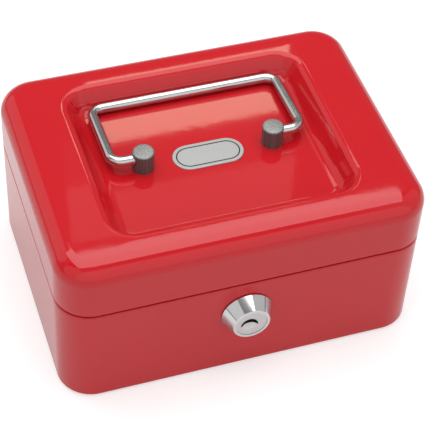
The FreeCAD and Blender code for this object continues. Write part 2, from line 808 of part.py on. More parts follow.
def make_lock_cam():
    """The cam, its washer and its screw; the cam stands up, clear of the keeper."""
    eye = lock_rod("cam_eye", "cam_eye_radius", "cam_front", "cam_back")
    arm = block(
        "cam_arm",
        ("lock_offset - cam_width / 2", "cam_front", "lock_height"),
        ("cam_width", "cam_gauge", "cam_reach"),
    )
    tip = lock_rod("cam_tip", "cam_width / 2", "cam_front", "cam_back", z="lock_height + cam_reach")
    side = "(cam_tang + 2 * cam_play)"
    square = block(
        "cam_square",
        (f"lock_offset - {side} / 2", "cam_front", f"lock_height - {side} / 2"),
        (side, "cam_gauge", side),
    )
    piece("lock_cam", cut("lock_cam", fuse("cam_blank", eye, arm, tip), square))
    washer_end = "cam_back + washer_gauge"
    disc = lock_rod("cam_washer_disc", "washer_radius + screw_radius", "cam_back", washer_end)
    hole = lock_rod("cam_washer_eye", "screw_radius + screw_clearance", "cam_back", washer_end)
    piece("cam_washer", cut("cam_washer", disc, hole))
    shank = lock_rod("cam_screw_shank", "screw_radius", "cam_back - cam_screw_length", washer_end)
    head_end = f"{washer_end} + screw_head_height"
    head = lock_rod("cam_screw_head", "screw_head_radius", washer_end, head_end)
    slot = block(
        "cam_screw_slot",
        ("lock_offset - screw_head_radius", f"{head_end} - screw_head_height / 2", "lock_height - screw_slot / 2"),
        ("2 * screw_head_radius", "screw_head_height / 2", "screw_slot"),
    )
    piece("cam_screw", cut("cam_screw", fuse("cam_screw_blank", shank, head), slot))


def make_lock_keeper():
    """A bent strip inside the lid: flange on the front wall, web over the rim, stem and foot."""
    x, width = "keeper_left", "keeper_width"
    back = "keeper_stem + keeper_gauge"
    strips = {
        "flange": ("lid_front_inside", "keeper_web", "keeper_gauge", "keeper_flange"),
        "web": ("lid_front_inside", "keeper_web", f"{back} - (lid_front_inside)", "keeper_gauge"),
        "stem": ("keeper_stem", "keeper_foot", "keeper_gauge", "keeper_web + keeper_gauge - (keeper_foot)"),
        "foot": (f"{back} - keeper_foot_reach", "keeper_foot", "keeper_foot_reach", "keeper_gauge"),
    }
    solids = [
        block(f"keeper_{key}", (x, y, z), (width, depth, height))
        for key, (y, z, depth, height) in strips.items()
    ]
    piece("lock_keeper", fuse("lock_keeper", *solids))


def make_tray_ledge(side, sign):
    """An angle strip on the inside of one end wall."""
    name = f"tray_ledge_{side}"
    wall = f"{sign} * (base_length / 2 - sheet_gauge)"
    front = "tray_middle - ledge_length / 2"

    def strip(key, width, low, height):
        left = wall if sign < 0 else f"{wall} - {width}"
        return block(f"{name}_{key}", (left, front, low), (width, "ledge_length", height))

    shelf = strip("shelf", "ledge_width", "ledge_height - ledge_gauge", "ledge_gauge")
    skirt = strip("skirt", "ledge_gauge", "ledge_height - ledge_skirt", "ledge_skirt")
    piece(name, fuse(name, shelf, skirt))


def scoop(index):
    """One coin compartment with a hollow floor, as the form that is cut out of the tray."""
    body = doc.addObject("PartDesign::Body", f"scoop_{index}")
    length, width = "scoop_pitch - tray_wall", "tray_depth - 2 * tray_wall"
    low = "tray_bottom + tray_floor"
    outline = rounded_rectangle(body, f"scoop_outline_{index}", low, length, width, "scoop_corner")
    pad(body, outline, f"tray_rise - tray_floor + {CUT_MARGIN}")
    round_edges(body, f"scoop_floor_{index}", low, length, width, "scoop_hollow")
    middle = (SCOOPS - 1) / 2
    return place(body, (f"({index} - {middle}) * scoop_pitch", "tray_middle", "0"))


def make_coin_tray():
    body = doc.addObject("PartDesign::Body", "tray_block")
    outline = rounded_rectangle(body, "tray_outline", "tray_bottom", "tray_length", "tray_depth", "tray_corner")
    pad(body, outline, "tray_rise")
    place(body, ("0", "tray_middle", "0"))
    piece("coin_tray", cut("coin_tray", body, *[scoop(index) for index in range(SCOOPS)]))


def build():
    make_base_shell()
    make_lid_shell()
    for side, sign in SIDES.items():
        make_hinge_leaf("base", side, sign)
        make_hinge_leaf("lid", side, sign)
        make_hinge_pin(side, sign)
        make_handle_post(side, sign)
        make_tray_ledge(side, sign)
    make_hinge_rivets("base")
    make_hinge_rivets("lid")
    make_handle_fasteners()
    make_carry_handle()
    make_badge_plate()
    make_lock_body()
    make_lock_nut()
    make_lock_plug()
    make_lock_wafers()
    make_lock_cam()
    make_lock_keeper()
    make_coin_tray()


def check():
    """Stops if any object failed or any sub-part has no valid shape."""
    for thing in doc.Objects:
        if "Invalid" in thing.State or "Error" in thing.State:
            raise RuntimeError(f"{thing.Name} failed: {thing.State}")
    for solid in parts:
        if solid.Shape.isNull() or not solid.Shape.isValid() or not solid.Shape.Solids:
            raise RuntimeError(f"{solid.Label} has no valid shape")


def export():
    os.makedirs("parts", exist_ok=True)
    for solid in parts:
        solid.Shape.exportStep(f"parts/{solid.Label}.step")
        print(f"{solid.Label}: {len(solid.Shape.Solids)} solid, {solid.Shape.Volume:.1f} mm3")


fill_sheet()
build()
doc.recompute()
check()
export()
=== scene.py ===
import json
import math

import bmesh
import bpy
from mathutils import Matrix, Vector


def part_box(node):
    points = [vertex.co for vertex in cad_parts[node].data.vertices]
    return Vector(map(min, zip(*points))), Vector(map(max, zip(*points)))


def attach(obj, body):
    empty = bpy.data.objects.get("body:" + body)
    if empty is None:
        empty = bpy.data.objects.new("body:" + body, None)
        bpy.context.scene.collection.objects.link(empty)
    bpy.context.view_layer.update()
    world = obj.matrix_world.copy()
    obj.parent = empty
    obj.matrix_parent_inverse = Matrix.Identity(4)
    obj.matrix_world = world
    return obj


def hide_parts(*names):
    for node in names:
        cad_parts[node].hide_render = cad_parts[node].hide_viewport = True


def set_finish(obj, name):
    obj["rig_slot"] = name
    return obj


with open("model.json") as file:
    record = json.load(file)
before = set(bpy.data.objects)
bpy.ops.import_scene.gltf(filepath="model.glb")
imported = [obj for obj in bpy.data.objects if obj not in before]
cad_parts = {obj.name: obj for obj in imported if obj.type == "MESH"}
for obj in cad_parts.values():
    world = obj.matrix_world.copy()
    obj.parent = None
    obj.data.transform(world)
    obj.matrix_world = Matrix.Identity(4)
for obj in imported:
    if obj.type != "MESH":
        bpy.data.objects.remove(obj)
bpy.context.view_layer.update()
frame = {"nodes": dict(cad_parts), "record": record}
MM = 0.001

# Sizes in millimetres. The base, the seam, the recess, the wire, the lock's seat and the keyway differ a
# little from the solids.

# Casing
SHEET = 0.8
LID_CORNER = 14.5
LID_EDGE = 8.5
BASE_EDGE = 1.6
RIM_INSET = 1.25
RAW_EDGE = 0.2
SEAM_EASE = 0.5
SHOULDER_INSET = 0.45
SHOULDER_RISE = 1.3
WALL_INSET = 1.2
HOLE_LENGTH = 4.0
RIVET_HOLE = 1.55
RIVET_HEAD = 2.6
RIVET_SPACING = 16.0

# Recess in the lid; at its floor the back wall stands RECESS_BACK further back
RECESS_HALF = (51.2, 42.2)
RECESS_CORNER = 11.0
RECESS_DEPTH = 9.0
RECESS_DRAFT = math.radians(32)
RECESS_BACK = 0.8
LIP_RADIUS = 3.6
FLOOR_RADIUS = 5.5

# Handle and posts; AXIS_GAP keeps a turned profile off its axis
WIRE_RADIUS = 2.15
WIRE_END = 0.5
HANDLE_ARM = 40.3
HANDLE_REACH = 35.3
HANDLE_BEND = 5.0
HANDLE_RISE = 5.4
GRIP_GAP = 0.45
AXIS_GAP = 0.001
POST_ROUND = 0.8
POST_SCREW_RADIUS = 1.5
POST_SCREW_DEPTH = 3.0
POST_SCREW_HOLE = 1.6
BORE_DEPTH = 4.3
BORE_PLAY = 0.3
BORE_OVERSHOOT = 2.0

# Lock
LOCK_FACE_RADIUS = 7.85
LOCK_LAND = 0.6
LOCK_SEAT = 0.35
LOCK_UNDERCUT = 0.7
LOCK_ROUND = 0.45
BARREL_RADIUS = 7.0
BARREL_HOLE = 7.1
BARREL_HOLE_LENGTH = 6.0
PLUG_HEAD_BORE = 6.45
PLUG_HEAD_DEPTH = 3.35
PLUG_BODY_BORE = 5.05
KEYWAY_OFFSET = -0.9
KEYWAY_DROP = 0.6
KEYWAY_RADIUS = 3.58
KEYWAY_SWEEP = (178, 2)
KEYWAY_CORE_DROP = 5.0
KEYWAY_CORE_RADIUS = 5.46
KEYWAY_CORE_SWEEP = (130, 50)
KEYWAY_DISH_RADIUS = 3.3
KEYWAY_DISH_DEPTH = 0.6
# The keyway is drawn as a black crescent of painted shade, set KEYWAY_RAISE proud of the plug's face.
KEYWAY_RAISE = 0.03
KEYWAY_DEPTH = 1.6

# Badge, its ends a hair short of half circles so that no two points coincide
BADGE_EDGE = 0.15
BADGE_LINE_INSET = 1.5
BADGE_LINE_WIDTH = 0.55
BADGE_LINE_RAISE = 0.01
BADGE_LINE_DEPTH = 0.05
BADGE_END_ROUND = 0.999

# Fineness of the meshes, and the angles from which an edge stays sharp
CORNER_STEPS = 20
ARC_STEPS = 14
TURN_STEPS = 96
WIRE_STEPS = 32
POST_ROUND_STEPS = 6
LOCK_ROUND_STEPS = 8
KEYWAY_STEPS = 16
SHARP_ANGLE = math.radians(38)
LOCK_SHARP_ANGLE = math.radians(25)


def corners(node):
    """Lowest and highest corner of a CAD node, in millimetres."""
    low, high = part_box(node)
    return low / MM, high / MM


LID_LOW, LID_HIGH = corners("lid_shell")
BASE_TOP = corners("base_shell")[1].z
LOCK_LOW, LOCK_HIGH = corners("lock_body")
RECESS_FLOOR = LID_HIGH.z - RECESS_DEPTH


# Mesh helpers

def rounded_loop(half_x, half_y, radius, z):
    """A rounded rectangle about the Z axis, counter-clockwise from above."""
    points = []
    for turn, (sign_x, sign_y) in enumerate(((1, -1), (1, 1), (-1, 1), (-1, -1))):
        centre_x, centre_y = sign_x * (half_x - radius), sign_y * (half_y - radius)
        for step in range(CORNER_STEPS + 1):
            angle = (turn - 1 + step / CORNER_STEPS) * math.pi / 2
            points.append(
                Vector((centre_x + radius * math.cos(angle), centre_y + radius * math.sin(angle), z))
            )
    return points


def new_piece(name, mesh_data, body, slot, replaced):
    """Makes an object of a bmesh, ties it to its body and slot, and hides the node it stands for."""
    bmesh.ops.scale(mesh_data, vec=(MM, MM, MM), verts=mesh_data.verts)
    bmesh.ops.recalc_face_normals(mesh_data, faces=mesh_data.faces)
    mesh = bpy.data.meshes.new(name)
    mesh_data.to_mesh(mesh)
    mesh_data.free()
    piece = bpy.data.objects.new(name, mesh)
    bpy.context.scene.collection.objects.link(piece)
    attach(piece, body)
    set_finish(piece, slot)
    if replaced:
        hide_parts(replaced)
    return piece


def smooth(piece, angle=SHARP_ANGLE):
    """Smooth shading that keeps flat faces flat and real edges sharp."""
    piece.data.shade_smooth()
    piece.data.set_sharp_from_angle(angle=angle)
    weigh = piece.modifiers.new("flat_faces", "WEIGHTED_NORMAL")
    weigh.keep_sharp = True
    return piece


def skin_loops(loops, capped=True):
    """A mesh through loops that have the same number of points."""
    data = bmesh.new()
    rings = [[data.verts.new(point) for point in loop] for loop in loops]
    count = len(rings[0])
    for low, high in zip(rings, rings[1:]):
        for index in range(count):
            after = (index + 1) % count
            data.faces.new((low[index], low[after], high[after], high[index]))
    if capped:
        data.faces.new(tuple(reversed(rings[0])))
        data.faces.new(rings[-1])
    return data


def skin_ring(loops):
    """A mesh through loops, closed by joining the last loop to the first."""
    data = skin_loops(loops, capped=False)
    count = len(loops[0])
    data.verts.ensure_lookup_table()
    first, last = data.verts[:count], data.verts[len(data.verts) - count:]
    for index in range(count):
        after = (index + 1) % count
        data.faces.new((last[index], last[after], first[after], first[index]))
    return data


def turned(profile, centre, axis="z"):
    """Turns a closed profile of (radius, height) points about an axis through a centre."""
    loops = []
    for radius, height in profile:
        loop = []
        for step in range(TURN_STEPS):
            angle = 2 * math.pi * step / TURN_STEPS
            across, along = radius * math.cos(angle), radius * math.sin(angle)
            offset = Vector((across, along, height)) if axis == "z" else Vector((across, height, along))
            loop.append(centre + offset)
        loops.append(loop)
    return skin_ring(loops)


def arc(centre, radius, start, end, steps=ARC_STEPS):
    """Points of an arc in a profile, its angles in degrees."""
    points = []
    for step in range(steps + 1):
        angle = math.radians(start + (end - start) * step / steps)
        points.append((centre[0] + radius * math.cos(angle), centre[1] + radius * math.sin(angle)))
    return points


def drill(piece, holes):
    """Cuts round holes, each a centre, an axis, a radius and a length in millimetres."""
    data = bmesh.new()
    for centre, axis, radius, length in holes:
        turn = axis.to_track_quat("Z", "Y").to_matrix().to_4x4()
        bmesh.ops.create_cone(
            data,
            cap_ends=True,
            segments=TURN_STEPS // 2,
            radius1=radius * MM,
            radius2=radius * MM,
            depth=length * MM,
            matrix=Matrix.Translation(centre * MM) @ turn,
        )
    mesh = bpy.data.meshes.new("drill")
    data.to_mesh(mesh)
    data.free()
    tool = bpy.data.objects.new("drill", mesh)
    bpy.context.scene.collection.objects.link(tool)
    boolean = piece.modifiers.new("holes", "BOOLEAN")
    boolean.operation = "DIFFERENCE"
    boolean.solver = "EXACT"
    boolean.object = tool
    graph = bpy.context.evaluated_depsgraph_get()
    cut_mesh = bpy.data.meshes.new_from_object(piece.evaluated_get(graph))
    piece.modifiers.remove(boolean)
    old_mesh = piece.data
    piece.data = cut_mesh
    bpy.data.meshes.remove(old_mesh)
    bpy.data.objects.remove(tool)
    bpy.data.meshes.remove(mesh)


# The pieces that replace plain solids

def lid_surface(inset):
    """Loops of the lid's outside, from the rim over the edge and down into the recess."""
    half_x, half_y = LID_HIGH.x - inset, LID_HIGH.y - inset
    corner, edge, top = LID_CORNER - inset, LID_EDGE - inset, LID_HIGH.z - inset
    loops = []
    for step in range(ARC_STEPS + 1):
        angle = math.pi / 2 * step / ARC_STEPS
        pull = edge * (1 - math.cos(angle))
        level = top - edge + edge * math.sin(angle)
        loops.append(rounded_loop(half_x - pull, half_y - pull, corner - pull, level))
    wall_turn = math.pi / 2 - RECESS_DRAFT
    shift = math.tan(wall_turn / 2)
    lip, foot = LIP_RADIUS - inset, FLOOR_RADIUS + inset

    def recess_loop(narrowing, depth):
        grow = inset * shift - narrowing
        back = RECESS_BACK / 2 * depth / RECESS_DEPTH
        loop = rounded_loop(
            RECESS_HALF[0] + grow, RECESS_HALF[1] + grow + back, RECESS_CORNER + grow, top - depth
        )
        return [point + Vector((0, back, 0)) for point in loop]

    for step in range(ARC_STEPS + 1):
        angle = wall_turn * step / ARC_STEPS
        loops.append(recess_loop(lip * (math.sin(angle) - shift), lip * (1 - math.cos(angle))))
    floor_inset = RECESS_DEPTH * math.tan(RECESS_DRAFT) + foot * shift
    for step in range(ARC_STEPS + 1):
        angle = wall_turn * (1 - step / ARC_STEPS)
        depth = RECESS_DEPTH - foot * (1 - math.cos(angle))
        loops.append(recess_loop(floor_inset - foot * math.sin(angle), depth))
    return loops


def casing_loop(inset, level):
    """The casing's outline at a height, drawn in by an inset."""
    return rounded_loop(LID_HIGH.x - inset, LID_HIGH.y - inset, LID_CORNER - inset, level)


def rivet_holes(node):
    """Holes in the back wall for the rivets of one node."""
    low, high = corners(node)
    level = (low.z + high.z) / 2
    spots = [sign * (high.x - RIVET_HEAD - shift) for sign in (-1, 1) for shift in (0, RIVET_SPACING)]
    return [(Vector((x, LID_HIGH.y, level)), Vector((0, 1, 0)), RIVET_HOLE, HOLE_LENGTH) for x in spots]


def make_lid():
    """The lid: its outside, a slightly broken lower edge and its inside, with screw and rivet holes."""
    rim_level = LID_LOW.z + SEAM_EASE
    rim = [
        casing_loop(0, rim_level + RAW_EDGE),
        casing_loop(RAW_EDGE, rim_level),
        casing_loop(SHEET - RAW_EDGE, rim_level),
        casing_loop(SHEET, rim_level + RAW_EDGE),
    ]
    loops = list(reversed(lid_surface(0))) + rim + lid_surface(SHEET)
    lid = new_piece("lid_pressing", skin_loops(loops), "lid", "red_enamel", "lid_shell")
    holes = []
    for node in ("handle_post_left", "handle_post_right"):
        low, high = corners(node)
        centre = (low + high) / 2
        spot = Vector((centre.x, centre.y, RECESS_FLOOR))
        holes.append((spot, Vector((0, 0, 1)), POST_SCREW_HOLE, HOLE_LENGTH))
    drill(lid, holes + rivet_holes("hinge_lid_rivets"))
    return smooth(lid)


def make_base():
    """The pan: flat floor, rounded lower edge, wall, round shoulder and rim, then the same inside."""
    shoulder = LID_LOW.z - SEAM_EASE
    rim_in = RIM_INSET + SHEET
    inner_edge = BASE_EDGE - SHEET
    loops = [casing_loop(x, z) for x, z in arc((BASE_EDGE, BASE_EDGE), BASE_EDGE, 270, 180)]
    for across, up in arc((0, 0), 1, 0, 90):
        loops.append(casing_loop(SHOULDER_INSET * (1 - across), shoulder - SHOULDER_RISE * (1 - up)))
    loops += [
        casing_loop(RIM_INSET, shoulder),
        casing_loop(RIM_INSET, BASE_TOP - RAW_EDGE),
        casing_loop(RIM_INSET + RAW_EDGE, BASE_TOP),
        casing_loop(rim_in - RAW_EDGE, BASE_TOP),
        casing_loop(rim_in, BASE_TOP - RAW_EDGE),
        casing_loop(rim_in, shoulder - SHEET),
        casing_loop(WALL_INSET, shoulder - SHEET),
    ]
    for x, z in arc((WALL_INSET + inner_edge, SHEET + inner_edge), inner_edge, 180, 270):
        loops.append(casing_loop(x, z))
    base = new_piece("base_pressing", skin_loops(loops), "base", "red_enamel", "base_shell")
    centre = (LOCK_LOW + LOCK_HIGH) / 2
    lock_spot = Vector((centre.x, -LID_HIGH.y, centre.z))
    lock_hole = (lock_spot, Vector((0, 1, 0)), BARREL_HOLE, BARREL_HOLE_LENGTH)
    drill(base, [lock_hole] + rivet_holes("hinge_base_rivets"))
    return smooth(base)


def handle_line():
    """Centre line of the wire in its own plane, from one post round the grip to the other."""
    low, high = corners("handle_post_right")
    start = (low.x + high.x) / 2 + WIRE_END
    bends = (
        ((-HANDLE_ARM + HANDLE_BEND, HANDLE_BEND), 270),
        ((-HANDLE_ARM + HANDLE_BEND, HANDLE_REACH - HANDLE_BEND), 180),
        ((HANDLE_ARM - HANDLE_BEND, HANDLE_REACH - HANDLE_BEND), 90),
        ((HANDLE_ARM - HANDLE_BEND, HANDLE_BEND), 0),
    )
    line = [(-start, 0.0)]
    for centre, angle in bends:
        line += arc(centre, HANDLE_BEND, angle, angle - 90)
    return line + [(start, 0.0)]


def make_handle():
    """The bent wire, drooping from its pivot until the grip lies just above the recess floor."""
    droop = math.asin((HANDLE_RISE - WIRE_RADIUS - GRIP_GAP) / HANDLE_REACH)
    turn = Matrix.Rotation(-droop, 3, "X")
    pivot = Vector((0, 0, RECESS_FLOOR + HANDLE_RISE))
    line = [Vector((x, y, 0)) for x, y in handle_line()]
    loops = []
    for index, point in enumerate(line):
        before, after = line[max(index - 1, 0)], line[min(index + 1, len(line) - 1)]
        along = (after - before).normalized()
        side = Vector((0, 0, 1)).cross(along)
        loop = []
        for step in range(WIRE_STEPS):
            angle = 2 * math.pi * step / WIRE_STEPS
            offset = side * math.cos(angle) + Vector((0, 0, 1)) * math.sin(angle)
            loop.append(turn @ (point + WIRE_RADIUS * offset) + pivot)
        loops.append(loop)
    return smooth(new_piece("handle_wire", skin_loops(loops), "handle", "chromed_wire", "carry_handle"))


def make_post(side):
    """A turned post with a rounded upper edge, a screw hole below and its cross bore for the wire."""
    node = f"handle_post_{side}"
    low, high = corners(node)
    radius = (high.x - low.x) / 2
    height = high.z - low.z
    centre = Vector(((low.x + high.x) / 2, (low.y + high.y) / 2, low.z))
    profile = [(POST_SCREW_RADIUS, 0), (radius, 0)]
    profile += arc((radius - POST_ROUND, height - POST_ROUND), POST_ROUND, 0, 90, POST_ROUND_STEPS)
    profile += [(AXIS_GAP, height), (AXIS_GAP, POST_SCREW_DEPTH), (POST_SCREW_RADIUS, POST_SCREW_DEPTH)]
    post = new_piece(node + "_turned", turned(profile, centre), "lid", "post_steel", node)
    outward = 1 if side == "right" else -1
    bore_x = centre.x + outward * (radius - BORE_DEPTH / 2 + BORE_OVERSHOOT / 2)
    bore = Vector((bore_x, centre.y, low.z + HANDLE_RISE))
    drill(post, [(bore, Vector((1, 0, 0)), WIRE_RADIUS + BORE_PLAY, BORE_DEPTH + BORE_OVERSHOOT)])
    return smooth(post)


def make_lock_head():
    """The conical head, undercut at the wall, and the barrel behind it, turned about the lock's axis."""
    centre = (LOCK_LOW + LOCK_HIGH) / 2
    base_radius = (LOCK_HIGH.x - LOCK_LOW.x) / 2
    neck_radius = base_radius - LOCK_UNDERCUT
    face, wall, end = LOCK_LOW.y, -LID_HIGH.y, LOCK_HIGH.y
    slope = math.degrees(math.atan2(wall - LOCK_LAND - face, base_radius - LOCK_FACE_RADIUS))
    rim_centre = (LOCK_FACE_RADIUS - LOCK_ROUND, face + LOCK_ROUND)
    profile = [(PLUG_HEAD_BORE, face)]
    profile += arc(rim_centre, LOCK_ROUND, 270, 360 - (90 - slope), LOCK_ROUND_STEPS)
    profile += [
        (base_radius, wall - LOCK_LAND),
        (base_radius, wall - LOCK_SEAT),
        (neck_radius, wall - LOCK_SEAT),
        (neck_radius, wall),
        (BARREL_RADIUS, wall),
        (BARREL_RADIUS, end),
        (PLUG_BODY_BORE, end),
        (PLUG_BODY_BORE, face + PLUG_HEAD_DEPTH),
        (PLUG_HEAD_BORE, face + PLUG_HEAD_DEPTH),
    ]
    data = turned(profile, Vector((centre.x, 0, centre.z)), "y")
    return smooth(new_piece("lock_head", data, "base", "chrome", "lock_body"), LOCK_SHARP_ANGLE)


def make_keyway_shade():
    """Painted shade: a black crescent sheet where the keyway's dark depth would be, following the dish of the
    plug's face.
    """
    low, high = corners("lock_plug")
    x, z = (low.x + high.x) / 2 + KEYWAY_OFFSET, (low.z + high.z) / 2
    upper = arc((x, z - KEYWAY_DROP), KEYWAY_RADIUS, *KEYWAY_SWEEP, KEYWAY_STEPS)
    lower = arc((x, z - KEYWAY_CORE_DROP), KEYWAY_CORE_RADIUS, *KEYWAY_CORE_SWEEP, KEYWAY_STEPS)
    loops = []
    for top, bottom in zip(upper, lower):
        loop = [Vector((across, low.y + KEYWAY_DEPTH, up)) for across, up in (bottom, top)]
        for step in range(KEYWAY_STEPS + 1):
            share = step / KEYWAY_STEPS
            across, up = (a + (b - a) * share for a, b in zip(top, bottom))
            slope = (KEYWAY_DISH_RADIUS - math.hypot(across - x, up - z)) / (KEYWAY_DISH_RADIUS / 2)
            sunk = KEYWAY_DISH_DEPTH * min(max(slope, 0), 1) - KEYWAY_RAISE
            loop.append(Vector((across, low.y + sunk, up)))
        loops.append(loop)
    # The crescent takes the black plastic slot, though it is painted shade for the keyway's depth.
    return smooth(new_piece("keyway_painted_shade", skin_loops(loops), "lock", "black_plastic", None))


def make_badge():
    """A blank plate with round ends, a soft edge and one dark inlaid line."""
    low, high = corners("badge_plate")

    def outline(inset, z):
        half_y = high.y - inset
        return rounded_loop(high.x - inset, half_y, half_y * BADGE_END_ROUND, z)

    loops = [outline(0, low.z), outline(0, high.z - BADGE_EDGE), outline(BADGE_EDGE, high.z)]
    plate = new_piece("badge_blank", skin_loops(loops), "lid", "badge_aluminium", "badge_plate")
    outer, inner = BADGE_LINE_INSET, BADGE_LINE_INSET + BADGE_LINE_WIDTH
    face, foot = high.z + BADGE_LINE_RAISE, high.z - BADGE_LINE_DEPTH
    loops = [outline(outer, face), outline(inner, face), outline(inner, foot), outline(outer, foot)]
    line = new_piece("badge_line", skin_ring(loops), "lid", "black_plastic", None)
    return smooth(plate), smooth(line)


# Materials

# Each plated or bare metal: its dark and light tone, its range of roughness, its grain in cycles per metre
# and the strength of its bump.
METALS = {
    "chrome": ((0.60, 0.60, 0.605), (0.68, 0.675, 0.68), (0.05, 0.09), 240, 0.008),
    "satin_chrome": ((0.52, 0.515, 0.52), (0.64, 0.635, 0.64), (0.24, 0.36), 1400, 0.03),
    "chromed_wire": ((0.50, 0.492, 0.49), (0.58, 0.57, 0.568), (0.12, 0.20), 300, 0.008),
    "zinc_steel": ((0.42, 0.43, 0.45), (0.60, 0.61, 0.63), (0.25, 0.45), 220, 0.03),
    "brass": ((0.62, 0.42, 0.16), (0.78, 0.58, 0.26), (0.20, 0.35), 500, 0.03),
    "badge_aluminium": ((0.36, 0.36, 0.365), (0.43, 0.43, 0.435), (0.36, 0.46), 1200, 0.03),
}

# Each black: its dark and light tone and its specular level
PLASTIC_BLACK = ((0.010, 0.010, 0.011), (0.022, 0.022, 0.024), 0.2)
# The keyway's black is painted shade: nearly black and almost without shine, so that the crescent reads as an
# unlit hole.
KEYWAY_SHADE_BLACK = ((0.001, 0.001, 0.001), (0.003, 0.003, 0.003), 0.02)

ENAMEL_DARK = (0.530, 0.0085, 0.0145)
ENAMEL_LIGHT = (0.560, 0.0105, 0.0165)
ENAMEL_IOR = 1.46


def node_adder(tree):
    """A function that adds a node to the tree and sets its attributes, or its sockets by their names."""

    def add(kind, **values):
        node = tree.nodes.new(kind)
        for key, value in values.items():
            if hasattr(node, key):
                setattr(node, key, value)
            else:
                node.inputs[key.replace("_", " ")].default_value = value
        return node

    return add


def new_material(name):
    """A node material; returns it with its shader and the functions that add and link nodes."""
    material = bpy.data.materials.new(name)
    material.use_nodes = True
    tree = material.node_tree
    shader = next(node for node in tree.nodes if node.type == "BSDF_PRINCIPLED")
    return material, shader, node_adder(tree), tree.links.new


def spread(add, link, source, low, high):
    """Maps a 0 to 1 value onto a range."""
    mapped = add("ShaderNodeMapRange", To_Min=low, To_Max=high)
    link(source, mapped.inputs["Value"])
    return mapped.outputs["Result"]


def two_tone(add, link, factor, first, second):
    """Mixes two colours, each a tuple or a node's output, by a factor."""
    mix = add("ShaderNodeMix", data_type="RGBA")
    for socket, colour in (("A", first), ("B", second)):
        if isinstance(colour, tuple):
            mix.inputs[socket].default_value = (*colour, 1)
        else:
            link(colour, mix.inputs[socket])
    link(factor, mix.inputs["Factor"])
    return mix.outputs["Result"]


def noise(add, link, scale, detail=3.0, stretch=None):
    """Noise over the object's own coordinates, in cycles per metre."""
    place = add("ShaderNodeTexCoord").outputs["Object"]
    if stretch:
        mapping = add("ShaderNodeMapping", Scale=stretch)
        link(place, mapping.inputs["Vector"])
        place = mapping.outputs["Vector"]
    texture = add("ShaderNodeTexNoise", Scale=scale, Detail=detail)
    link(place, texture.inputs["Vector"])
    return texture.outputs["Fac"]


def bump(add, link, shader, height, strength, distance):
    """Lets a height tilt the shader's normals."""
    node = add("ShaderNodeBump", Strength=strength, Distance=distance)
    link(height, node.inputs["Height"])
    link(node.outputs["Normal"], shader.inputs["Normal"])


def red_enamel():
    """Glossy stoved enamel with a faint orange-peel surface."""
    material, shader, add, link = new_material("red_enamel")
    cloud = noise(add, link, scale=18, detail=2)
    link(two_tone(add, link, cloud, ENAMEL_DARK, ENAMEL_LIGHT), shader.inputs["Base Color"])
    link(spread(add, link, noise(add, link, scale=120), 0.025, 0.05), shader.inputs["Roughness"])
    shader.inputs["IOR"].default_value = ENAMEL_IOR
    peel = noise(add, link, scale=260, detail=2)
    bump(add, link, shader, peel, strength=0.025, distance=0.0002)
    return material


def metal(name, dark, light, roughness, grain, bump_strength):
    """A bare or plated metal whose tone, roughness and fine grain vary."""
    material, shader, add, link = new_material(name)
    tone = noise(add, link, grain, detail=4)
    link(two_tone(add, link, tone, dark, light), shader.inputs["Base Color"])
    link(spread(add, link, tone, *roughness), shader.inputs["Roughness"])
    shader.inputs["Metallic"].default_value = 1.0
    bump(add, link, shader, tone, bump_strength, distance=0.0001)
    return material


def post_steel():
    """Dull turned steel, with fine lines along the side and brushed grain on top; the top is painted paler
    than the side, a painted highlight by how far a face points up.
    """
    material, shader, add, link = new_material("post_steel")
    lines = noise(add, link, scale=1300, detail=4, stretch=(1, 1, 0.02))
    # Painted shade on the side: darker tones, tinted a little blue-green against the red light that the side
    # mirrors.
    side = two_tone(add, link, lines, (0.045, 0.050, 0.050), (0.19, 0.205, 0.205))
    # Painted highlight on the top: paler tones over a brushed grain.
    grain = noise(add, link, scale=2400, detail=4, stretch=(0.3, 1, 1))
    top = two_tone(add, link, grain, (0.13, 0.13, 0.13), (0.38, 0.375, 0.37))
    # The colour turns from the side tones to the paler top tones as a face points up: painted light.
    facing = add("ShaderNodeSeparateXYZ")
    link(add("ShaderNodeTexCoord").outputs["Normal"], facing.inputs[0])
    link(two_tone(add, link, facing.outputs["Z"], side, top), shader.inputs["Base Color"])
    link(spread(add, link, lines, 0.18, 0.36), shader.inputs["Roughness"])
    shader.inputs["Metallic"].default_value = 0.4
    bump(add, link, shader, lines, strength=0.3, distance=0.0001)
    return material


def black_plastic(name, dark, light, specular):
    """Moulded plastic with a fine grain."""
    material, shader, add, link = new_material(name)
    grain = noise(add, link, scale=2600, detail=2)
    link(two_tone(add, link, grain, dark, light), shader.inputs["Base Color"])
    link(spread(add, link, grain, 0.38, 0.55), shader.inputs["Roughness"])
    shader.inputs["Specular IOR Level"].default_value = specular
    bump(add, link, shader, grain, strength=0.25, distance=0.0002)
    return material


def make_materials():
    """One material for each slot of the record."""
    materials = {slot: metal(slot, *finish) for slot, finish in METALS.items()}
    materials["red_enamel"] = red_enamel()
    materials["post_steel"] = post_steel()
    materials["black_plastic"] = black_plastic("black_plastic", *PLASTIC_BLACK)
    return materials


def paint(thing, material):
    """Makes a material the only one of an object."""
    thing.data.materials.clear()
    thing.data.materials.append(material)


# Stage, light and camera, in metres

CAMERA_AZIMUTH = math.radians(-20.386)
CAMERA_ELEVATION = math.radians(46.838)
CAMERA_ROLL = math.radians(3.414)
CAMERA_DISTANCE = 0.640803
CAMERA_TARGET = Vector((0.000177, -0.008640, 0.040))
CAMERA_LENS = 130.43
CAMERA_SENSOR = 36.0
CAMERA_CLIP = 0.01

